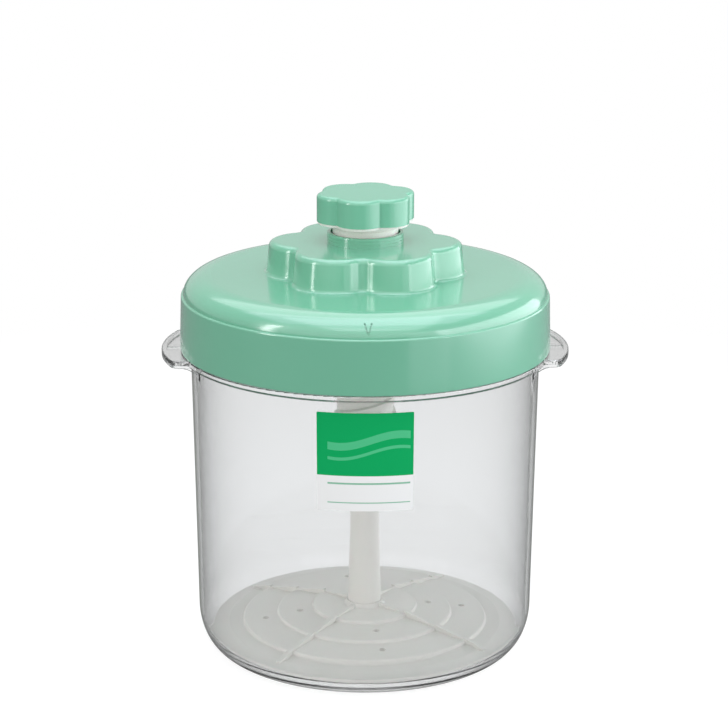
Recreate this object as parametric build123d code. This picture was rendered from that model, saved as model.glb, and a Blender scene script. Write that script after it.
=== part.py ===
from build123d import *
import math
import os

os.makedirs("parts", exist_ok=True)

# All lengths are millimetres and all angles are degrees
# The origin is at the centre of the container's foot, +Z points up and -Y is the front
# The two ears lie on the X axis

full_turn = 360.0
half_turn = 180.0
quarter_turn = 90.0
cut_overrun = 5.0
weld_overlap = 0.4

# Container body
rim_height = 206.0
rim_round = 1.0
wall_high_radius = 100.8
wall_taper = 2.9
wall_thickness = 2.5
wall_low_radius = wall_high_radius - wall_taper
foot_inset = 14.9
foot_radius = wall_low_radius - foot_inset
foot_width = 5.0
foot_recess = 1.8
floor_thickness = 2.6
floor_top = foot_recess + floor_thickness
corner_height = 25.0
inner_corner_height = 16.0
inner_corner_width = foot_inset - wall_thickness

# Ring flange under the lid
flange_reach = 5.5
flange_radius = wall_high_radius + flange_reach
neck_height = 26.0
flange_high = rim_height - neck_height
flange_thickness = 3.3
flange_round = 0.5
flange_low = flange_high - flange_thickness

# Ears on both sides of the container
ear_overhang = 10.8
ear_reach = flange_radius + ear_overhang
ear_curve_radius = 83.5
ear_half_length = 35.8
ear_corner_round = 6.0
ear_height = 4.3
ear_low = flange_high - ear_height
ear_rim_width = 2.8
ear_rim_round = 0.9
ear_web_lift = 1.2
ear_web_thickness = 1.8
ear_rib_width = 2.0
ear_rib_height = 1.1
gusset_thickness = 2.2
gusset_drop = 12.0
gusset_reach = 9.0
gusset_inset = 2.5

# Label wrapped on the front wall
label_drop = 7.5
label_high = flange_low - label_drop
label_height = 56.0
label_low = label_high - label_height
label_width = 52.9
label_thickness = 0.25
glue_thickness = 0.06
label_corner_round = 0.6
label_turn = -1.2

# Lid shell
lid_seat_gap = 0.3
lid_low = flange_high + lid_seat_gap
lid_overhang = 0.2
lid_low_radius = flange_radius + lid_overhang
skirt_taper = 1.0
lid_edge_radius = lid_low_radius - skirt_taper
lid_edge_lift = 5.4
lid_edge_height = rim_height + lid_edge_lift
lid_edge_step = 1.2
lid_edge_round_share = 0.9
lid_edge_round = lid_edge_step * lid_edge_round_share
lid_foot_round = 0.7
lid_wall = 2.2
shoulder_height = 11.4
roof_height = lid_edge_height + shoulder_height
shoulder_width = 17.5
roof_flat_radius = lid_edge_radius - shoulder_width

# Closing lugs on the container neck and inside the lid skirt
lug_count = 4
lug_span = 26.0
lug_height = 3.5
lug_side_gap = 1.1
lug_lift = 5.2
lug_rise_gap = 3.0
lid_lug_low = lid_low + lug_lift
lid_lug_high = lid_lug_low + lug_height
lid_lug_inner_radius = wall_high_radius + lug_side_gap
neck_lug_low = lid_lug_high + lug_rise_gap
neck_lug_high = neck_lug_low + lug_height
lid_lug_angle = half_turn / lug_count

# Alignment mark on the lid shoulder
mark_angle = -90.4
mark_width = 3.9
mark_length = 5.6
mark_line = 0.8
mark_depth = 0.7
mark_lift = 5.0
mark_middle_height = lid_edge_height + mark_lift

# Flower shaped hub on the lid
lobe_count = 6
hub_lobe_radius = 56.8
hub_scallop = 11.3
hub_cusp_radius = hub_lobe_radius - hub_scallop
hub_cusp_angle = -93.2
hub_cusp_round = 6.0
hub_draft = 2.0
hub_height = 18.6
hub_top = roof_height + hub_height
hub_top_round = 3.2
hub_base_round = 2.0
hub_wall = 2.4

# Screw thread shared by the sleeve and the barrel
thread_lead = 24.0
thread_starts = 2
thread_pitch = thread_lead / thread_starts
thread_depth = 1.5
thread_gap = 0.35
thread_side_gap = 0.6
thread_phase = 85.5
barrel_root_radius = 16.4
barrel_crest_radius = barrel_root_radius + thread_depth
barrel_ridge_root = 6.0
barrel_ridge_crest = 4.0
sleeve_bore_radius = barrel_crest_radius + thread_gap
sleeve_crest_radius = barrel_root_radius + thread_gap

# Collar and threaded sleeve in the middle of the lid
mouth_reach = 2.1
mouth_radius = barrel_crest_radius + mouth_reach
mouth_depth = 4.0
collar_wall = 1.9
collar_radius = mouth_radius + collar_wall
collar_height = 5.6
collar_top = hub_top + collar_height
collar_groove_depth = 0.35
collar_groove_height = 0.7
collar_groove_spacing = 1.7
collar_top_round = 0.6
sleeve_length = 40.0
sleeve_low = collar_top - sleeve_length
sleeve_thread_top = collar_top - mouth_depth

# Screw barrel
barrel_drop = 147.0
barrel_low = collar_top - barrel_drop
thread_end_margin = 4.0
barrel_thread_low = barrel_low + thread_end_margin
barrel_wall = 3.4
barrel_bore_radius = barrel_root_radius - barrel_wall
spring_room = 80.0
barrel_web_thickness = 3.0
barrel_web_low = barrel_low + spring_room
barrel_web_high = barrel_web_low + barrel_web_thickness
shoulder_side_gap = 1.3
shoulder_radius = mouth_radius - shoulder_side_gap
shoulder_dip = 1.4
shoulder_low = collar_top - shoulder_dip
shoulder_groove_depth = 0.4
shoulder_groove_height = 0.8
knob_lift = 5.7
barrel_flange_low = collar_top + knob_lift
barrel_flange_thickness = 1.3
barrel_flange_high = barrel_flange_low + barrel_flange_thickness
barrel_flange_inset = 0.6
spigot_inset = 1.0
spigot_radius = barrel_root_radius - spigot_inset
spigot_height = 8.0
spigot_top = barrel_flange_high + spigot_height

# Knob cap on the barrel
knob_lobe_radius = 28.4
knob_scallop = 4.0
knob_cusp_radius = knob_lobe_radius - knob_scallop
knob_cusp_angle = -72.6
knob_cusp_round = 1.2
knob_height = 15.7
knob_top = barrel_flange_high + knob_height
knob_top_round = 2.2
knob_wall = 2.2
knob_ring_width = 2.0
press_fit_gap = 0.05

# Press stem, sliding in the guide bush that closes the barrel
guide_gap = 0.1
bush_wall = 4.4
bush_bore_radius = barrel_bore_radius - bush_wall
stop_gap = 0.3
press_stroke = 27.0
stem_radius = bush_bore_radius - guide_gap
stem_flare = 1.4
stem_foot_radius = stem_radius + stem_flare
bush_flange_thickness = 3.0
bush_flange_inset = 0.2
bush_plug_length = 12.0
bush_low = barrel_low - bush_flange_thickness
bush_top = barrel_low + bush_plug_length
bush_flange_radius = barrel_root_radius - bush_flange_inset
stem_taper_margin = 1.0
stem_taper_top = bush_low - press_stroke - stem_taper_margin
stem_top = bush_top + stop_gap
stem_wall = 3.3
stem_bore_radius = stem_radius - stem_wall
stem_crown = 12.3
stem_sole = 31.6

# Screws that hold the piston and the press plate on the stem
screw_radius = 2.0
screw_hole_gap = 0.1
screw_hole_radius = screw_radius + screw_hole_gap
screw_head_radius = 5.4
screw_head_height = 3.0
screw_head_round = 1.0
screw_drive_width = 1.2
screw_drive_length = 6.4
screw_drive_depth = 1.6
piston_screw_depth = 14.0
plate_screw_depth = 17.0

# Piston on top of the stem
piston_gap = 0.3
piston_radius = barrel_bore_radius - piston_gap
piston_height = 4.0
piston_top = stem_top + piston_height
piston_recess_gap = 1.4
piston_recess_radius = screw_head_radius + piston_recess_gap
piston_recess_depth = 1.4

# Compression spring and the thrust washer above it
spring_gap = 0.3
spring_wire_radius = 1.0
spring_side_gap = 0.8
spring_coil_radius = barrel_bore_radius - spring_side_gap - spring_wire_radius
spring_turns = 8
washer_radius = barrel_bore_radius - spring_gap
washer_width = 5.7
washer_bore_radius = washer_radius - washer_width
washer_height = 2.0
washer_top = barrel_web_low - spring_gap

# Press plate, resting just above the rounded corner inside the container
plate_side_gap = 5.4
plate_radius = wall_low_radius - wall_thickness - plate_side_gap
plate_seat_gap = 0.4
overhang_share = 1 - plate_side_gap / inner_corner_width
corner_rise = inner_corner_height * (1 - math.sqrt(1 - overhang_share**2))
plate_low = floor_top + corner_rise + plate_seat_gap
plate_edge_thickness = 2.6
plate_edge_height = plate_low + plate_edge_thickness
plate_rise = 13.8
plate_centre_height = plate_low + plate_rise
plate_skin = 2.2
plate_rim_width = 2.4
outer_terrace_inset = 18.2
terrace_width = 20.5
outer_terrace_radius = plate_radius - outer_terrace_inset
middle_terrace_radius = outer_terrace_radius - terrace_width
inner_terrace_radius = middle_terrace_radius - terrace_width
terrace_drop = 2.1
terrace_round = 0.9
terrace_fall = 1.4
outer_bend_inset = 9.6
outer_bend_radius = plate_radius - outer_bend_inset
outer_bend_rise = 2.0
outer_bend_height = plate_edge_height + outer_bend_rise
rib_count = 4
rib_width = 2.6
rib_angle = -36.8
rib_outer_inset = 6.0
rib_outer_radius = plate_radius - rib_outer_inset
rib_low_lift = 0.5
rib_high_lift = 1.6
rib_embed = 1.2
drain_count = 4
drain_angle = -81.1
drain_radius = 2.0
drain_offset = 7.8
inner_drain_circle = inner_terrace_radius + drain_offset
outer_drain_circle = middle_terrace_radius + drain_offset
boss_reach = 2.2
boss_radius = stem_foot_radius + boss_reach
boss_flare_height = 2.6
boss_top = plate_centre_height + boss_flare_height
boss_wall = 1.0
boss_floor = 3.0
socket_gap = 0.1
under_rib_count = 8
under_rib_width = 2.0
under_rib_lift = 0.6
plate_screw_lift = 0.1
plate_screw_seat = plate_low + plate_screw_lift + screw_head_height
stem_low = plate_screw_seat + boss_floor
stem_taper_low = plate_centre_height + weld_overlap


# Angle helpers
def spaced(count, start):
    return [start + full_turn * index / count for index in range(count)]


def around(radius, angle, height=0):
    turn = math.radians(angle)
    return (radius * math.cos(turn), radius * math.sin(turn), height)


def turned_about_z(shape, angle):
    return Rot(0, 0, angle) * shape


# Solids of revolution from a closed outline in the XZ plane
def revolved(lines):
    return revolve(Plane.XZ * make_face(lines), Axis.Z)


def disc(radius, low, high):
    return Pos(0, 0, low) * extrude(Circle(radius), high - low)


def ring(outer, inner, low, high):
    return disc(outer, low, high) - disc(inner, low - cut_overrun, high + cut_overrun)


def block(low, high):
    middle = [(a + b) / 2 for a, b in zip(low, high)]
    return Pos(*middle) * Box(*[b - a for a, b in zip(low, high)])


# Flower outline with arcs that bulge between evenly spaced cusps
def flower(lobe_radius, cusp_radius, cusp_angle, cusp_round):
    step = full_turn / lobe_count
    arcs = []
    for angle in spaced(lobe_count, cusp_angle):
        start = around(cusp_radius, angle)
        middle = around(lobe_radius, angle + step / 2)
        end = around(cusp_radius, angle + step)
        arcs.append(ThreePointArc(start, middle, end))
    outline = make_face(arcs)
    return fillet(outline.vertices(), cusp_round)


# Arc shaped lug between two radii
def lug(inner, outer, low, high, middle_angle):
    outline = [(inner, low), (outer, low), (outer, high), (inner, high)]
    face = Plane.XZ * make_face(Polyline(*outline, close=True))
    swept = revolve(face, Axis.Z, lug_span)
    return turned_about_z(swept, middle_angle - lug_span / 2)


# Helical ridge with a trapezoid section, cut flat at both ends
# Every helix is in phase at height zero, so ridges of different pieces stay in mesh
def helical_ridge(root_radius, crest_radius, root_width, crest_width, low, high, angle):
    start = thread_lead * math.floor(low / thread_lead - 1)
    height = high - start + thread_lead

    def edge(radius, offset):
        return Helix(thread_lead, height, radius, center=(0, 0, start + offset))

    corners = [
        (root_radius, -root_width / 2),
        (crest_radius, -crest_width / 2),
        (crest_radius, crest_width / 2),
        (root_radius, root_width / 2),
    ]
    edges = [edge(*corner) for corner in corners]
    sides = [
        Face.make_surface_from_curves(edges[index - 1], edges[index])
        for index in range(len(edges))
    ]
    starts = [item @ 0 for item in edges]
    ends = [item @ 1 for item in edges]
    caps = [Face(Wire.make_polygon(points, close=True)) for points in (starts, ends)]
    ridge = Solid(Shell(sides + caps))
    ridge = turned_about_z(ridge, angle)
    widest = max(root_radius, crest_radius) + cut_overrun
    return ridge & disc(widest, low, high)


# Width of the barrel's ridge, and of the sleeve's ridge that runs between two of them
def barrel_ridge_width(radius):
    depth_share = (radius - barrel_root_radius) / thread_depth
    return barrel_ridge_root - (barrel_ridge_root - barrel_ridge_crest) * depth_share


def sleeve_ridge_width(radius):
    return thread_pitch - barrel_ridge_width(radius) - 2 * thread_side_gap


# Outer radius of the container wall at a height
def wall_radius(height):
    rise_share = (height - corner_height) / (rim_height - corner_height)
    return wall_low_radius + wall_taper * rise_share


# Outer radius of the lid skirt at a height
def skirt_radius(height):
    rise_share = (height - lid_low) / (lid_edge_height - lid_low)
    return lid_low_radius - skirt_taper * rise_share


# Quarter of an ellipse that joins the foot or the floor to the wall
def corner_arc(centre_height, width, height):
    return EllipticalCenterArc(
        (foot_radius, centre_height), width, height, -quarter_turn, arc_size=quarter_turn
    )


# Container wall with a rounded corner, a foot ring and a recessed underside
def container_shell():
    foot_inner = foot_radius - foot_width
    rim_inner = wall_high_radius - wall_thickness
    inner_low_radius = foot_radius + inner_corner_width
    inner_corner_top = floor_top + inner_corner_height
    lines = [
        Line((0, foot_recess), (foot_inner, foot_recess)),
        Line((foot_inner, foot_recess), (foot_inner, 0)),
        Line((foot_inner, 0), (foot_radius, 0)),
        corner_arc(corner_height, foot_inset, corner_height),
        Line((wall_low_radius, corner_height), (wall_high_radius, rim_height)),
        Line((wall_high_radius, rim_height), (rim_inner, rim_height)),
        Line((rim_inner, rim_height), (inner_low_radius, inner_corner_top)),
        corner_arc(inner_corner_top, inner_corner_width, inner_corner_height),
        Line((foot_radius, floor_top), (0, floor_top)),
        Line((0, floor_top), (0, foot_recess)),
    ]
    shell = revolved(lines)
    rim_edges = shell.edges().filter_by(GeomType.CIRCLE).group_by(Axis.Z)[-1]
    return fillet(rim_edges, rim_round)


# D shaped outline of one ear, from inside the wall to its outer arc
def ear_outline(inset):
    centre = ear_reach - ear_curve_radius
    half = ear_half_length - inset
    radius = ear_curve_radius - inset
    corner_x = centre + math.sqrt(radius**2 - half**2)
    root_x = wall_low_radius - wall_thickness - cut_overrun - ear_corner_round
    lines = [
        Line((root_x, -half), (corner_x, -half)),
        ThreePointArc((corner_x, -half), (centre + radius, 0), (corner_x, half)),
        Line((corner_x, half), (root_x, half)),
        Line((root_x, half), (root_x, -half)),
    ]
    face = make_face(lines)
    outer = face.vertices().group_by(Axis.X)[-1]
    return fillet(outer, ear_corner_round - inset)


def slab(face, low, high):
    return Pos(0, 0, low) * extrude(face, high - low)


# Curved gusset that carries one end of an ear down to the wall
def ear_gusset(side):
    wall_x = math.sqrt(wall_radius(ear_low) ** 2 - ear_half_length**2)
    top = ear_low + ear_web_lift + ear_web_thickness
    low = ear_low - gusset_drop
    tip_x = wall_x + gusset_reach
    bow = (wall_x + gusset_inset, (low + ear_low) / 2 + gusset_inset)
    deep_x = wall_x - wall_thickness
    lines = [
        Line((deep_x, top), (tip_x, top)),
        Line((tip_x, top), (tip_x, ear_low)),
        ThreePointArc((tip_x, ear_low), bow, (wall_x - weld_overlap, low)),
        Line((wall_x - weld_overlap, low), (deep_x, low)),
        Line((deep_x, low), (deep_x, top)),
    ]
    fin = extrude(Plane.XZ * make_face(lines), gusset_thickness)
    offset = ear_half_length if side > 0 else gusset_thickness - ear_half_length
    return Pos(0, offset, 0) * fin


# Ear with a raised rim, a thin web, a middle rib and two gussets
def ear():
    outline = ear_outline(0)
    inner = ear_outline(ear_rim_width)
    rim = slab(outline, ear_low, flange_high)
    rim_edges = rim.edges().group_by(Axis.Z)
    rim = fillet(rim_edges[0] + rim_edges[-1], ear_rim_round)
    rim -= slab(inner, ear_low, flange_high)
    web_low = ear_low + ear_web_lift
    web_high = web_low + ear_web_thickness
    web = slab(outline, web_low, web_high)
    rib = block(
        (wall_low_radius, -ear_rib_width / 2, web_low),
        (ear_reach - ear_rim_width / 2, ear_rib_width / 2, web_high + ear_rib_height),
    )
    return rim + web + rib + ear_gusset(1) + ear_gusset(-1)


def make_container():
    body = container_shell()
    inside = disc(wall_radius(ear_low) - wall_thickness / 2, 0, rim_height)
    flange_root = wall_radius(flange_low) - wall_thickness / 2
    flange = ring(flange_radius, flange_root, flange_low, flange_high)
    outer_edges = flange.edges().filter_by(GeomType.CIRCLE).sort_by(SortBy.RADIUS)[-2:]
    body += fillet(outer_edges, flange_round)
    side_ear = ear() - inside
    body += [side_ear, turned_about_z(side_ear, half_turn)]
    lug_root = wall_radius(neck_lug_low) - weld_overlap
    lug_tip = skirt_radius(neck_lug_high) - lid_wall - lug_side_gap
    for angle in spaced(lug_count, 0):
        body += lug(lug_root, lug_tip, neck_lug_low, neck_lug_high, angle)
    return body


# Thin label that follows the sloping front wall
def make_label():
    low_radius = wall_radius(label_low) + glue_thickness
    high_radius = wall_radius(label_high) + glue_thickness
    label_angle = math.degrees(label_width / wall_radius(label_low + label_height / 2))
    outline = [
        (low_radius, label_low),
        (low_radius + label_thickness, label_low),
        (high_radius + label_thickness, label_high),
        (high_radius, label_high),
    ]
    face = Plane.XZ * make_face(Polyline(*outline, close=True))
    sheet = revolve(face, Axis.Z, label_angle)
    corners = [edge for edge in sheet.edges() if edge.length < label_corner_round]
    sheet = fillet(corners, label_corner_round)
    return turned_about_z(sheet, label_turn - quarter_turn - label_angle / 2)


# Half the lid section, offset inward by an inset, with a small ledge at the shoulder's foot
def lid_profile(inset, low, ledge_height):
    edge = (lid_edge_radius - inset, ledge_height)
    foot = (lid_edge_radius - inset - lid_edge_step, ledge_height)
    roof = roof_height - inset
    flat = (roof_flat_radius, roof)
    return [
        Line((0, low), (lid_low_radius - inset, low)),
        Line((lid_low_radius - inset, low), edge),
        Line(edge, foot),
        EllipticalCenterArc(
            (roof_flat_radius, ledge_height),
            foot[0] - roof_flat_radius,
            roof - ledge_height,
            arc_size=quarter_turn,
        ),
        Line(flat, (0, roof)),
        Line((0, roof), (0, low)),
    ]


# Hub outline at a height, narrower towards the top by the mould's draft
def hub_outline(inset, height):
    rise_share = (height - roof_height) / hub_height
    shrink = inset + hub_draft * rise_share
    outline = flower(
        hub_lobe_radius - shrink, hub_cusp_radius - shrink, hub_cusp_angle, hub_cusp_round
    )
    return Pos(0, 0, height) * outline


def hub_solid(inset, low, top):
    return loft([hub_outline(inset, low), hub_outline(inset, top)], ruled=True)


# Two short grooves that meet in a point, cut into the lid shoulder
def mark_cutter():
    half = mark_width / 2
    reach = lid_edge_radius + cut_overrun
    low = mark_middle_height - mark_length / 2
    high = mark_middle_height + mark_length / 2
    cutter = None
    for side in (-1, 1):
        outline = [
            (-mark_line / 2, low),
            (mark_line / 2, low),
            (side * half + mark_line / 2, high),
            (side * half - mark_line / 2, high),
        ]
        face = make_face(Polyline(*outline, close=True))
        bar = extrude(Plane.YZ * face, reach)
        cutter = bar if cutter is None else cutter + bar
    return turned_about_z(cutter, mark_angle)


# Threaded sleeve and collar in the middle of the lid
def lid_sleeve():
    sleeve = disc(collar_radius, sleeve_low, collar_top)
    top_edges = sleeve.edges().filter_by(GeomType.CIRCLE).group_by(Axis.Z)[-1]
    sleeve = fillet(top_edges, collar_top_round)
    middle = (hub_top + collar_top) / 2
    for shift in (-collar_groove_spacing / 2, collar_groove_spacing / 2):
        low = middle + shift - collar_groove_height / 2
        high = low + collar_groove_height
        groove_inner = collar_radius - collar_groove_depth
        sleeve -= ring(collar_radius + cut_overrun, groove_inner, low, high)
    return sleeve


def make_lid():
    outline = make_face(lid_profile(0, lid_low, lid_edge_height))
    corners = outline.vertices().sort_by(Axis.X)
    outline = fillet(corners[-1], lid_foot_round)
    edge_corner = outline.vertices().filter_by_position(
        Axis.X, lid_edge_radius - weld_overlap, lid_edge_radius + weld_overlap
    )
    outline = fillet(edge_corner.sort_by(Axis.Y)[-1], lid_edge_round)
    shell = revolve(Plane.XZ * outline, Axis.Z)
    hub = hub_solid(0, roof_height - lid_wall, hub_top)
    hub_edges = hub.edges().group_by(Axis.Z)[-1]
    hub = fillet(hub_edges, hub_top_round)
    shell += hub
    base_edges = [
        edge
        for edge in shell.edges()
        if abs(edge.center().Z - roof_height) < weld_overlap
        and hub_cusp_radius - cut_overrun
        < math.hypot(edge.center().X, edge.center().Y)
        < hub_lobe_radius + cut_overrun
        and edge.bounding_box().size.Z < weld_overlap
    ]
    shell = fillet(base_edges, hub_base_round)
    groove = mark_cutter()
    kept_core = revolved(lid_profile(mark_depth, lid_low, lid_edge_height))
    shell -= groove - kept_core
    inner_ledge = lid_edge_height - lid_edge_step
    shell -= revolved(lid_profile(lid_wall, lid_low - cut_overrun, inner_ledge))
    shell -= hub_solid(hub_wall, lid_low, hub_top - hub_wall)
    shell += lid_sleeve()
    shell -= disc(sleeve_bore_radius, lid_low, collar_top + cut_overrun)
    shell -= disc(mouth_radius, collar_top - mouth_depth, collar_top + cut_overrun)
    lug_wall = skirt_radius(lid_lug_low) - lid_wall + weld_overlap
    for angle in spaced(lug_count, lid_lug_angle):
        shell += lug(lid_lug_inner_radius, lug_wall, lid_lug_low, lid_lug_high, angle)
    ridge_root = sleeve_bore_radius + weld_overlap
    for angle in spaced(thread_starts, thread_phase + half_turn / thread_starts):
        shell += helical_ridge(
            ridge_root,
            sleeve_crest_radius,
            sleeve_ridge_width(ridge_root),
            sleeve_ridge_width(sleeve_crest_radius),
            sleeve_low,
            sleeve_thread_top,
            angle,
        )
    return shell


# Hollow screw barrel with a lobed top flange and a middle web
def make_barrel():
    barrel = disc(barrel_root_radius, barrel_low, shoulder_low)
    barrel += disc(shoulder_radius, shoulder_low, barrel_flange_low)
    groove_low = (collar_top + barrel_flange_low) / 2
    barrel -= ring(
        shoulder_radius + cut_overrun,
        shoulder_radius - shoulder_groove_depth,
        groove_low,
        groove_low + shoulder_groove_height,
    )
    outline = flower(
        knob_lobe_radius - barrel_flange_inset,
        knob_cusp_radius - barrel_flange_inset,
        knob_cusp_angle,
        knob_cusp_round,
    )
    barrel += slab(outline, barrel_flange_low, barrel_flange_high)
    barrel += disc(spigot_radius, barrel_flange_low, spigot_top)
    ridge_root = barrel_root_radius - weld_overlap
    for angle in spaced(thread_starts, thread_phase):
        barrel += helical_ridge(
            ridge_root,
            barrel_crest_radius,
            barrel_ridge_width(ridge_root),
            barrel_ridge_crest,
            barrel_thread_low,
            sleeve_thread_top,
            angle,
        )
    barrel -= disc(barrel_bore_radius, barrel_low - cut_overrun, barrel_web_low)
    barrel -= disc(barrel_bore_radius, barrel_web_high, spigot_top + cut_overrun)
    return barrel


# Knob cap, hollow below, with an inner ring around the barrel spigot
def make_knob_cap():
    outline = flower(
        knob_lobe_radius, knob_cusp_radius, knob_cusp_angle, knob_cusp_round
    )
    cap = slab(outline, barrel_flange_high, knob_top)
    cap = fillet(cap.edges().group_by(Axis.Z)[-1], knob_top_round)
    hollow = flower(
        knob_lobe_radius - knob_wall,
        knob_cusp_radius - knob_wall,
        knob_cusp_angle,
        knob_cusp_round,
    )
    ceiling = knob_top - knob_wall
    cap -= slab(hollow, barrel_flange_high - cut_overrun, ceiling)
    ring_inner = spigot_radius + press_fit_gap
    cap += ring(ring_inner + knob_ring_width, ring_inner, barrel_flange_high, ceiling)
    return cap


def make_guide_bush():
    bush = disc(bush_flange_radius, bush_low, barrel_low)
    bush += disc(barrel_bore_radius - press_fit_gap, bush_low, bush_top)
    return bush - disc(bush_bore_radius, bush_low - cut_overrun, bush_top + cut_overrun)


# Round stem that tapers down to its foot, with a blind core and two screw pilots
def make_stem():
    outline = Polyline(
        (0, stem_low),
        (stem_foot_radius, stem_low),
        (stem_foot_radius, stem_taper_low),
        (stem_radius, stem_taper_top),
        (stem_radius, stem_top),
        (0, stem_top),
        close=True,
    )
    stem = revolved(outline)
    stem -= disc(stem_bore_radius, stem_low + stem_sole, stem_top - stem_crown)
    stem -= disc(screw_hole_radius, stem_top - piston_screw_depth, stem_top + cut_overrun)
    return stem - disc(
        screw_hole_radius, stem_low - cut_overrun, stem_low + plate_screw_depth
    )


def make_piston():
    piston = disc(piston_radius, stem_top, piston_top)
    recess_low = piston_top - piston_recess_depth
    piston -= disc(piston_recess_radius, recess_low, piston_top + cut_overrun)
    return piston - disc(
        screw_hole_radius, stem_top - cut_overrun, piston_top + cut_overrun
    )


# Round head screw with a cross recess, its head standing on the seat
def screw(seat, tip):
    shank = disc(screw_radius, tip, seat + weld_overlap)
    top = seat + screw_head_height
    head = disc(screw_head_radius, seat, top)
    head = fillet(head.edges().group_by(Axis.Z)[-1], screw_head_round)
    long_side = screw_drive_length / 2
    short_side = screw_drive_width / 2
    for half_x, half_y in ((long_side, short_side), (short_side, long_side)):
        head -= block(
            (-half_x, -half_y, top - screw_drive_depth),
            (half_x, half_y, top + cut_overrun),
        )
    return shank + head


def make_piston_screw():
    tip = stem_top - piston_screw_depth + screw_hole_gap
    return screw(piston_top - piston_recess_depth, tip)


def make_plate_screw():
    tip = stem_low + plate_screw_depth - screw_hole_gap
    return Rot(half_turn, 0, 0) * screw(-plate_screw_seat, -tip)


# Coil spring between the piston and the thrust washer
def make_spring():
    low = piston_top + spring_gap + spring_wire_radius
    high = washer_top - washer_height - spring_gap - spring_wire_radius
    pitch = (high - low) / spring_turns
    path = Helix(pitch, high - low, spring_coil_radius, center=(0, 0, low))
    section = Plane(path @ 0, z_dir=path % 0) * Circle(spring_wire_radius)
    return sweep(section, path, is_frenet=True)


def make_washer():
    return ring(washer_radius, washer_bore_radius, washer_top - washer_height, washer_top)


# Radius of each terrace edge, with the floor heights before and after its step
def terrace_steps():
    radii = [inner_terrace_radius, middle_terrace_radius, outer_terrace_radius]
    steps = []
    height = plate_centre_height
    for radius in radii:
        steps.append((radius, height, height - terrace_drop))
        height -= terrace_drop + terrace_fall
    return steps


# Stepped plate skin with an outer rim wall
def plate_skin_solid():
    top = [(0, plate_centre_height)]
    for radius, before, after in terrace_steps():
        top += [(radius, before), (radius, after)]
    top.append((outer_bend_radius, outer_bend_height))
    edge = (plate_radius, plate_edge_height)
    section = make_face(
        Polyline(*top, edge, (plate_radius, plate_low), (0, plate_low), close=True)
    )
    steps = section.vertices().filter_by_position(
        Axis.X, inner_terrace_radius - weld_overlap, outer_terrace_radius + weld_overlap
    )
    rims = section.vertices().filter_by_position(
        Axis.Y, plate_edge_height - weld_overlap, plate_edge_height + weld_overlap
    )
    section = fillet(steps + rims, terrace_round)
    outer = revolve(Plane.XZ * section, Axis.Z)
    inner_radius = plate_radius - plate_rim_width
    below = plate_low - cut_overrun
    under = [(max(x - plate_skin, 0), z - plate_skin) for x, z in top]
    under.append((inner_radius, plate_edge_height - plate_skin))
    hollow = revolved(Polyline(*under, (inner_radius, below), (0, below), close=True))
    return outer - hollow


# One rib, made of wedges that step down with the terraces
def plate_rib():
    steps = terrace_steps()
    edges = [radius for radius, before, after in steps]
    starts = [boss_radius] + edges
    ends = edges + [rib_outer_radius]
    levels = [before for radius, before, after in steps]
    tops = [plate_centre_height + terrace_drop] + [level + rib_high_lift for level in levels]
    floors = levels + [outer_bend_height]
    wedges = []
    for start, end, top, floor in zip(starts, ends, tops, floors):
        outline = [
            (start - rib_embed, floor - rib_embed),
            (end, floor - rib_embed),
            (end, floor + rib_low_lift),
            (start - rib_embed, top),
        ]
        face = Plane.XZ * make_face(Polyline(*outline, close=True))
        wedges.append(Pos(0, rib_width / 2, 0) * extrude(face, rib_width))
    return wedges


# Flared boss that holds the foot of the stem
def plate_boss():
    neck_radius = stem_foot_radius + boss_wall
    flare_start = (boss_radius, plate_centre_height)
    flare_middle = (neck_radius + weld_overlap, plate_centre_height + boss_wall)
    flare = [
        Line((0, plate_screw_seat), (boss_radius, plate_screw_seat)),
        Line((boss_radius, plate_screw_seat), flare_start),
        ThreePointArc(flare_start, flare_middle, (neck_radius, boss_top)),
        Line((neck_radius, boss_top), (0, boss_top)),
        Line((0, boss_top), (0, plate_screw_seat)),
    ]
    return revolved(flare)


def make_plate():
    plate = plate_skin_solid() + plate_boss()
    for angle in spaced(rib_count, rib_angle - quarter_turn):
        plate += [turned_about_z(wedge, angle) for wedge in plate_rib()]
    under_rib = block(
        (boss_radius - rib_embed, -under_rib_width / 2, plate_low + under_rib_lift),
        (plate_radius - rib_embed, under_rib_width / 2, plate_edge_height - rib_embed),
    )
    for angle in spaced(under_rib_count, rib_angle + half_turn / under_rib_count):
        plate += turned_about_z(under_rib, angle)
    socket_radius = stem_foot_radius + socket_gap
    plate -= disc(socket_radius, stem_low, boss_top + cut_overrun)
    plate -= disc(screw_hole_radius, 0, stem_low + cut_overrun)
    drain = disc(drain_radius, 0, plate_centre_height + cut_overrun)
    for circle in (inner_drain_circle, outer_drain_circle):
        for angle in spaced(drain_count, drain_angle):
            plate -= Pos(*around(circle, angle)) * drain
    return plate


nodes = {
    "container": make_container,
    "label": make_label,
    "lid": make_lid,
    "screw_barrel": make_barrel,
    "knob_cap": make_knob_cap,
    "guide_bush": make_guide_bush,
    "thrust_washer": make_washer,
    "press_spring": make_spring,
    "press_stem": make_stem,
    "stem_piston": make_piston,
    "piston_screw": make_piston_screw,
    "press_plate": make_plate,
    "plate_screw": make_plate_screw,
}

for name, make in nodes.items():
    export_step(make(), f"parts/{name}.step")
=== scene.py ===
import math

import bpy
import numpy as np
from mathutils import Matrix, Vector


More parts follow.
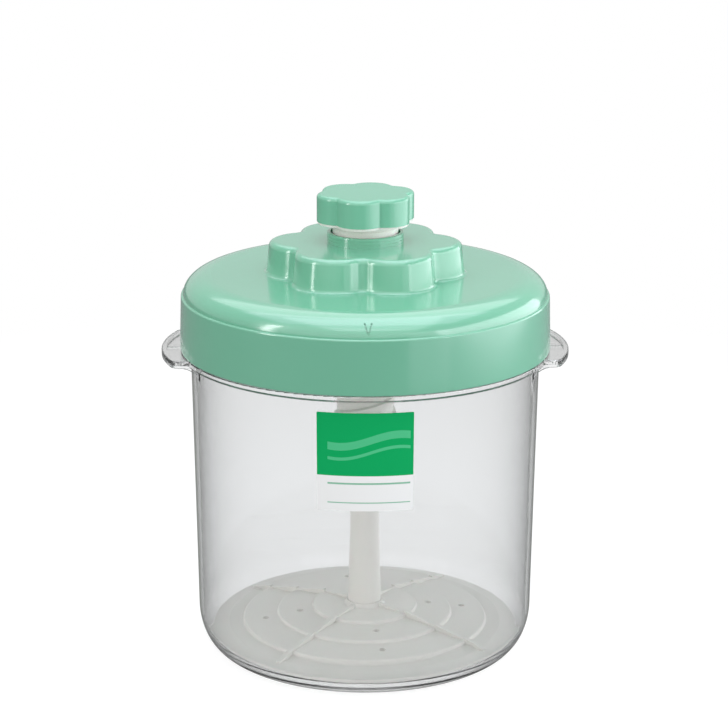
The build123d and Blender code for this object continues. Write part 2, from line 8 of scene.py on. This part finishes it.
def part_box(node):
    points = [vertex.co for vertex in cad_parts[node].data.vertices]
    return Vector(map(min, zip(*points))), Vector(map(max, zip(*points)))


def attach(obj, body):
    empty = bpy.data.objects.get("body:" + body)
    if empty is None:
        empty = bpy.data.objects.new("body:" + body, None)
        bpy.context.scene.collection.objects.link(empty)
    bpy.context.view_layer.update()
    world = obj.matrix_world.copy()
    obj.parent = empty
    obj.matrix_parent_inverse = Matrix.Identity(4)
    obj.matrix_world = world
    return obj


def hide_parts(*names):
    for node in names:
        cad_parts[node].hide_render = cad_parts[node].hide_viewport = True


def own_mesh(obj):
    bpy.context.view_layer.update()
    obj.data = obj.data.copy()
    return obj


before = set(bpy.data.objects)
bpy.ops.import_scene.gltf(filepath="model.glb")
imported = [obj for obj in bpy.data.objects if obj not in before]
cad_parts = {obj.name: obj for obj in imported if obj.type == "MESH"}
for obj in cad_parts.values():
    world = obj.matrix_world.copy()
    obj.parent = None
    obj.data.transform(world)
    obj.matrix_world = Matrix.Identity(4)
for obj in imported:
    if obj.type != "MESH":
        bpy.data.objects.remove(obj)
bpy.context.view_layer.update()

# Camera: a long lens some 1.3 m in front of the press and half a metre up, looking a
# little down on it. Its place was fitted to the rims of the lid and of the container.
lens_data = bpy.data.cameras.new("camera")
lens_data.sensor_width = 36.0
lens_data.lens = 117.36
lens_data.clip_start = 0.05
lens_data.clip_end = 60.0
camera = bpy.data.objects.new("camera", lens_data)
bpy.context.collection.objects.link(camera)
camera_distance = 1.31909
camera_height = 0.54549
camera_turn = math.radians(-1.3)
aim_offset = 0.0005
tilt_down = 0.278613
leaning = 0.0025
camera_place = Matrix.Translation(
    (
        camera_distance * math.sin(camera_turn),
        -camera_distance * math.cos(camera_turn),
        camera_height,
    )
)
camera.matrix_world = (
    camera_place
    @ Matrix.Rotation(camera_turn + aim_offset, 4, "Z")
    @ Matrix.Rotation(math.pi / 2 - tilt_down, 4, "X")
    @ Matrix.Rotation(leaning, 4, "Z")
)
bpy.context.scene.camera = camera


# Container: one clear injection moulding, polished inside and out, with its neck ring,
# closing lugs and the two ears in one piece. Its material is the first one made here, so
# the two small classes that every finish is written with come before it.
class Wire:
    """One output of a shader's nodes. Sums, products and powers add Math nodes."""

    def __init__(self, finish, socket):
        self.finish = finish
        self.socket = socket

    def joined(self, operation, *values):
        return self.finish.node("ShaderNodeMath", {"operation": operation}, *values)

    def __add__(self, other):
        return self.joined("ADD", self, other)

    def __radd__(self, other):
        return self.joined("ADD", other, self)

    def __sub__(self, other):
        return self.joined("SUBTRACT", self, other)

    def __rsub__(self, other):
        return self.joined("SUBTRACT", other, self)

    def __mul__(self, other):
        return self.joined("MULTIPLY", self, other)

    def __rmul__(self, other):
        return self.joined("MULTIPLY", other, self)

    def __pow__(self, other):
        return self.joined("POWER", self, other)

    def __abs__(self):
        return self.joined("ABSOLUTE", self)

    def over(self, limit):
        return self.joined("GREATER_THAN", self, limit)

    def under(self, limit):
        return self.joined("LESS_THAN", self, limit)


class Finish:
    """A material, or the world, whose nodes are added one at a time by their type."""

    def __init__(self, name, world=None):
        self.owner = world or bpy.data.materials.new(name)
        self.owner.use_nodes = True
        self.nodes = self.owner.node_tree.nodes
        self.links = self.owner.node_tree.links
        self.nodes.clear()

    def feed(self, made, place, value):
        """Links a wire to one input of a node, or writes a plain value there."""
        if isinstance(value, Wire):
            self.links.new(value.socket, made.inputs[place])
        else:
            made.inputs[place].default_value = value

    def node(self, kind, settings=None, *values, out=0, **named):
        """Adds a node: its settings come first, then its inputs by place or by name."""
        made = self.nodes.new(kind)
        for key, value in (settings or {}).items():
            if key == "stops":
                for element, (place, colour) in zip(made.color_ramp.elements, value):
                    element.position = place
                    element.color = colour
            else:
                setattr(made, key, value)
        for place, value in enumerate(values):
            self.feed(made, place, value)
        for key, value in named.items():
            self.feed(made, key.replace("_", " "), value)
        return Wire(self, made.outputs[out]) if made.outputs else made

    def mixed(self, amount, first, second):
        """A colour that goes from first to second as amount goes from 0 to 1."""
        made = self.nodes.new("ShaderNodeMix")
        made.data_type = "RGBA"
        for place, value in ((0, amount), (6, first), (7, second)):
            self.feed(made, place, value)
        return Wire(self, made.outputs[2])

    def noise(self, scale, detail, stretch=(1.0, 1.0, 1.0)):
        """Soft noise in object space, with its features 1 / scale metres across."""
        here = self.node("ShaderNodeTexCoord", out="Object")
        placed = self.node("ShaderNodeMapping", None, here, Scale=stretch)
        return self.node("ShaderNodeTexNoise", None, placed, Scale=scale, Detail=detail)

    def worn(self, marks, start, full):
        """Handling marks: 0 where the noise is below start, and 1 where it is over full."""
        stops = [(start, (0, 0, 0, 1)), (full, (1, 1, 1, 1))]
        return self.node("ShaderNodeValToRGB", {"stops": stops}, marks)

    def bumped(self, height, strength, distance):
        return self.node(
            "ShaderNodeBump", None, Strength=strength, Distance=distance, Height=height
        )

    def finished(self, surface):
        self.node("ShaderNodeOutputMaterial", None, surface)
        return self.owner

    def on(self, *nodes):
        for name in nodes:
            for slot in bpy.data.objects[name].material_slots:
                slot.material = self.owner


clear_tint = (0.857, 0.862, 0.864, 1)
# Painted dark reflection: the near-black colour that the clear wall is mixed towards where
# it is seen edge-on from outside.
painted_edge_shade = (0.01, 0.015, 0.005, 1)
shadow_tint = (0.93, 0.94, 0.93, 1)
edge_gain = 1.5
edge_sharpness = 3.4
clear = Finish("clear_styrene")
flow = clear.noise(14.0, 3.0, (1.0, 1.0, 0.35))
scuffs = clear.worn(clear.noise(420.0, 4.0), 0.56, 0.74)
slant = clear.node("ShaderNodeLayerWeight", Blend=0.5, out="Facing")
from_air = 1.0 - clear.node("ShaderNodeNewGeometry", out="Backfacing")
# Share of that painted dark reflection, strongest at the grazing edges of the outside
# faces.
painted_edge_share = edge_gain * from_air * slant**edge_sharpness
glassy = clear.node(
    "ShaderNodeBsdfPrincipled",
    None,
    Base_Color=clear.mixed(painted_edge_share, clear_tint, painted_edge_shade),
    Roughness=0.012 + 0.05 * scuffs,
    IOR=1.5,
    Transmission_Weight=1.0,
    Normal=clear.bumped(flow, strength=0.25, distance=0.0006),
)
lamp_way = clear.node("ShaderNodeBsdfTransparent", None, shadow_tint)
shadow_ray = clear.node("ShaderNodeLightPath", out="Is Shadow Ray")
clear.finished(clear.node("ShaderNodeMixShader", None, shadow_ray, glassy, lamp_way))
clear.on("container")


# Label: a gloss film printed in green over white, stuck on the front of the wall. Two
# pale waves run across the green part, and two plain rules across the white part.
paper = (0.9, 0.9, 0.89, 1)
green = (0.0, 0.39, 0.11, 1)
wave_green = (0.08, 0.54, 0.25, 1)
rule_green = (0.25, 0.52, 0.36, 1)
fleck_grey = (0.4, 0.42, 0.4, 1)
fleck_share = 0.03
green_foot = 0.1334
print_reach = 0.0225
wave_swing = 0.0035
wave_turn = 95.0
film = Finish("printed_film")
spot_on_film = film.node("ShaderNodeTexCoord", out="Object")
sideways = film.node("ShaderNodeSeparateXYZ", None, spot_on_film, out="X")
upward = film.node("ShaderNodeSeparateXYZ", None, spot_on_film, out="Z")
sway = wave_swing * film.node(
    "ShaderNodeMath", {"operation": "SINE"}, sideways * wave_turn
)


def printed_line(level, half_width, bend=0.0):
    """1 where the height is within half_width of level plus bend, and 0 elsewhere."""
    return abs(upward - level - bend).under(half_width)


waves = printed_line(0.1535, 0.0022, sway) + printed_line(0.1465, 0.0009, sway)
rules = printed_line(0.1290, 0.0005) + printed_line(0.1180, 0.0003)
in_reach = abs(sideways).under(print_reach)
green_part = film.mixed(waves * in_reach, green, wave_green)
white_part = film.mixed(rules * in_reach, paper, rule_green)
ink = film.mixed(upward.over(green_foot), white_part, green_part)
grain = film.noise(2600.0, 2.0)
film.finished(
    film.node(
        "ShaderNodeBsdfPrincipled",
        None,
        Base_Color=film.mixed(grain * fleck_share, ink, fleck_grey),
        Roughness=0.34 + 0.08 * grain,
        Specular_IOR_Level=0.06,
        Normal=film.bumped(grain, strength=0.12, distance=0.00005),
    )
)
film.on("label")


# Lid and knob cap: mint green mouldings with a high, slightly pearly polish. A faint
# cloudiness in the pigment and fine handling marks keep the large surfaces alive.
def moulded(name, colour, depth, polish, glow, gloss, pearl=0.0):
    """A moulded plastic: pigment clouds, a soft skin texture and fine handling marks.

    Its roughness is polish, plus a small share of the skin's texture, plus a larger one
    of the marks. Glow is the share of light that passes under the surface, and pearl the
    weight of the clear coat on it.
    """
    texture_share, marks_share = 0.03, 0.08
    skin = Finish(name)
    clouds = skin.noise(22.0, 3.0)
    texture = skin.noise(1700.0, 3.0)
    marks = skin.worn(skin.noise(260.0, 5.0, (1.0, 1.0, 4.0)), 0.55, 0.8)
    skin.finished(
        skin.node(
            "ShaderNodeBsdfPrincipled",
            None,
            Base_Color=skin.mixed(clouds, colour, depth),
            Roughness=polish + texture_share * texture + marks_share * marks,
            IOR=1.5,
            Specular_IOR_Level=gloss,
            Coat_Weight=pearl,
            Coat_Roughness=0.1,
            Subsurface_Weight=glow,
            Subsurface_Radius=(0.6, 1.0, 0.8),
            Subsurface_Scale=0.0025,
            Normal=skin.bumped(texture, strength=0.06, distance=0.00004),
        )
    )
    return skin


moulded(
    "mint_plastic",
    colour=(0.158, 0.466, 0.309, 1),
    depth=(0.142, 0.434, 0.285, 1),
    polish=0.15,
    glow=0.12,
    gloss=1.0,
    pearl=0.5,
).on("lid")
moulded(
    "mint_cap_plastic",
    colour=(0.172, 0.490, 0.332, 1),
    depth=(0.156, 0.460, 0.307, 1),
    polish=0.15,
    glow=0.12,
    gloss=1.0,
).on("knob_cap")


# Screw barrel, stem and press plate: white mouldings, a little translucent, with a softer
# polish than the lid because they work against brine and vegetables. The guide bush, the
# washer and the piston inside the barrel are of a plainer, greyer plastic.
moulded(
    "white_plastic",
    colour=(0.86, 0.84, 0.79, 1),
    depth=(0.83, 0.81, 0.76, 1),
    polish=0.26,
    glow=0.25,
    gloss=0.5,
).on("screw_barrel")
# Stem and plate: the barrel's white plastic made darker, which is painted shade, with less
# light passing under the surface.
moulded(
    "white_plastic_painted_darker",
    colour=(0.77, 0.748, 0.712, 1),
    depth=(0.745, 0.723, 0.687, 1),
    polish=0.28,
    glow=0.12,
    gloss=0.5,
).on("press_stem", "press_plate")
moulded(
    "inner_plastic",
    colour=(0.74, 0.75, 0.73, 1),
    depth=(0.71, 0.72, 0.70, 1),
    polish=0.38,
    glow=0.1,
    gloss=0.5,
).on("guide_bush", "thrust_washer", "stem_piston")


# Screws: two round head screws of stainless steel, bright from the turning. One holds the
# piston to the stem inside the barrel, and the other holds the plate from below.
def drawn_steel(name, colour, polish, line_scale):
    """Stainless steel with fine lines along the wire or round the turned head.

    Its roughness is polish plus a share of the lines, and the lines are a darker grey.
    """
    line_grey, line_share = (0.46, 0.46, 0.47, 1), 0.16
    steel = Finish(name)
    lines = steel.noise(line_scale, 3.0, (1.0, 1.0, 8.0))
    steel.finished(
        steel.node(
            "ShaderNodeBsdfPrincipled",
            None,
            Base_Color=steel.mixed(lines, colour, line_grey),
            Metallic=1.0,
            Roughness=polish + line_share * lines,
            Normal=steel.bumped(lines, strength=0.1, distance=0.00003),
        )
    )
    return steel


screw_steel = drawn_steel(
    "screw_metal", colour=(0.72, 0.72, 0.73, 1), polish=0.16, line_scale=1200.0
)
screw_steel.on("piston_screw", "plate_screw")


# Press spring: one length of stainless wire, wound right-handed in eight open turns from
# the piston up to the washer.
def wound_wire(name, coil_radius, wire_radius, low, high, turns):
    """A tube round a helix: a circle of wire_radius lies across the helix at each ring.

    At a share u of the way the centre is at the angle 2 pi turns u and at the height
    low + (high - low) u. The circle's axes are the radius and its cross with the tangent.
    """
    rings_per_turn, sides = 48, 12
    rings = rings_per_turn * turns + 1
    share = np.linspace(0.0, 1.0, rings)
    angle = 2.0 * np.pi * turns * share
    radial = np.stack([np.cos(angle), np.sin(angle), np.zeros(rings)], axis=1)
    centre = coil_radius * radial
    centre[:, 2] = low + (high - low) * share
    rise = (high - low) / (2.0 * np.pi * turns)
    tangent = np.stack(
        [-coil_radius * np.sin(angle), coil_radius * np.cos(angle), np.full(rings, rise)],
        axis=1,
    )
    tangent /= np.linalg.norm(tangent, axis=1, keepdims=True)
    across = np.cross(radial, tangent)
    turn = 2.0 * np.pi * np.arange(sides) / sides
    circle = (
        np.cos(turn)[None, :, None] * radial[:, None, :]
        + np.sin(turn)[None, :, None] * across[:, None, :]
    )
    points = (centre[:, None, :] + wire_radius * circle).reshape(-1, 3)
    ring, side = np.meshgrid(np.arange(rings - 1), np.arange(sides), indexing="ij")
    near, far = ring * sides, (ring + 1) * sides
    after = (side + 1) % sides
    quads = np.stack([near + side, far + side, far + after, near + after], axis=-1)
    last = rings * sides - 1
    ends = [list(range(sides)), list(range(last, last - sides, -1))]
    made = bpy.data.meshes.new(name)
    made.from_pydata(points.tolist(), [], quads.reshape(-1, 4).tolist() + ends)
    made.polygons.foreach_set("use_smooth", [True] * len(made.polygons))
    return made


spring_foot, spring_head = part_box("press_spring")
spring_wire = 0.001
spring_turns = 8
spring_mesh = wound_wire(
    "wound_spring",
    spring_head[0] - spring_wire,
    spring_wire,
    spring_foot[2] + spring_wire,
    spring_head[2] - spring_wire,
    spring_turns,
)
spring_steel = drawn_steel(
    "spring_metal", colour=(0.66, 0.66, 0.67, 1), polish=0.2, line_scale=900.0
)
spring_mesh.materials.append(spring_steel.owner)
spring = bpy.data.objects.new("wound_spring", spring_mesh)
bpy.context.collection.objects.link(spring)
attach(spring, "spring_seat")
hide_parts("press_spring")
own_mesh(spring)


# Floor: a matt sweep just under the foot, which the camera and the clear plastic see as
# white, gloss only in part, and which keeps the press's own soft shadow. It turns to
# plain white at some distance from the press.
floor_reach = 6.0
floor_drop = 0.0002
shadow_edge = 0.3
white_edge = 0.75
floor_grey = (0.2, 0.2, 0.2, 1)
pure_white = (1, 1, 1, 1)
floor_lift = 0.86
gloss_share = 0.12
reach = np.array([-1.0, 1.0]) * floor_reach
floor_x, floor_y = np.meshgrid(reach, reach)
floor_z = np.full((2, 2), -floor_drop)
floor_points = np.stack([floor_x, floor_y, floor_z], axis=-1).reshape(-1, 3)
floor_mesh = bpy.data.meshes.new("floor")
floor_mesh.from_pydata(floor_points.tolist(), [], [(0, 1, 3, 2)])
floor = bpy.data.objects.new("floor", floor_mesh)
bpy.context.collection.objects.link(floor)


def seen_white(finish):
    """1 for camera and transmission rays, gloss_share for glossy rays, and 0 for others."""
    camera_ray, glossy_ray, clear_ray = (
        finish.node("ShaderNodeLightPath", out=kind)
        for kind in ("Is Camera Ray", "Is Glossy Ray", "Is Transmission Ray")
    )
    return camera_ray + gloss_share * glossy_ray + clear_ray


sweep = Finish("white_sweep")
matt = sweep.node("ShaderNodeBsdfDiffuse", None, floor_grey)
lift = sweep.node("ShaderNodeEmission", None, pure_white, floor_lift)
lifted = sweep.node("ShaderNodeAddShader", None, matt, lift)
plain_white = sweep.node("ShaderNodeEmission", None, pure_white, 1.0)
spot = sweep.node("ShaderNodeTexCoord", out="Object")
far_off = sweep.node("ShaderNodeVectorMath", {"operation": "LENGTH"}, spot, out="Value")
open_floor = sweep.node(
    "ShaderNodeMapRange", None, far_off, shadow_edge, white_edge, 0.0, 1.0
)
shown = sweep.node("ShaderNodeMixShader", None, open_floor, lifted, plain_white)
floor_mesh.materials.append(
    sweep.finished(sweep.node("ShaderNodeMixShader", None, seen_white(sweep), matt, shown))
)


# Daylight: an even world round the press. It is plain white where the floor is, and a
# dimmer white where it lights the plastic.
daylight = 0.62
studio = bpy.data.worlds.new("studio")
bpy.context.scene.world = studio
sky = Finish("studio", studio)
dim_sky = sky.node("ShaderNodeBackground", Color=pure_white, Strength=daylight)
white_sky = sky.node("ShaderNodeBackground", Color=pure_white, Strength=1.0)
whole_sky = sky.node("ShaderNodeMixShader", None, seen_white(sky), dim_sky, white_sky)
sky.node("ShaderNodeOutputWorld", None, whole_sky)


# Lamps: soft boxes on all sides of the press. Two of them stay out of what the clear wall
# lets through, and the gloss card overhead shows only as a veil in the lid's polish.
def lamp(name, azimuth, elevation, distance, width, height, power, tint, unseen=()):
    """A soft box that is aimed at the middle of the container.

    It hangs at its distance from there, azimuth degrees round from the front to the right
    and elevation degrees up. Sizes are in metres and its power is in watts.
    """
    data = bpy.data.lights.new(name, "AREA")
    data.shape = "RECTANGLE"
    data.size = width
    data.size_y = height
    data.energy = power
    data.color = tint
    box = bpy.data.objects.new(name, data)
    bpy.context.collection.objects.link(box)
    turn, rise = math.radians(azimuth), math.radians(elevation)
    aim = Vector((0.0, 0.0, 0.15))
    away = Vector(
        (
            math.sin(turn) * math.cos(rise),
            -math.cos(turn) * math.cos(rise),
            math.sin(rise),
        )
    )
    box.location = aim + away * distance
    box.rotation_euler = (-away).to_track_quat("-Z", "Y").to_euler()
    for kind in unseen:
        setattr(box, "visible_" + kind, False)


cool = (0.97, 1.0, 1.05)
aqua = (0.92, 1.0, 1.1)
plain = (1.0, 1.0, 1.0)
lilac = (1.0, 0.88, 1.15)
lamp("key_box", 88.0, 6.0, 0.9, 1.8, 0.8, 10.2, cool, unseen=["transmission"])
lamp("side_box", 36.0, 6.0, 0.9, 0.4, 0.7, 0.6, cool)
lamp("top_box", 8.0, 76.0, 1.25, 1.15, 1.5, 7.0, aqua)
lamp("rear_box", 180.0, 55.0, 1.3, 1.6, 0.8, 4.5, cool)
lamp("strip_box", -62.0, 18.0, 1.5, 0.2, 1.1, 4.2, plain, unseen=["transmission"])
lamp("front_box", -22.0, 30.0, 2.2, 4.4, 2.6, 18.5, plain)
lamp("gloss_card", 180.0, 86.0, 1.2, 1.8, 0.9, 5.2, lilac, unseen=["diffuse"])

light_paths = bpy.context.scene.cycles
light_paths.max_bounces = 32
light_paths.transmission_bounces = 32
light_paths.glossy_bounces = 32
bpy.context.scene.view_settings.view_transform = "Standard"
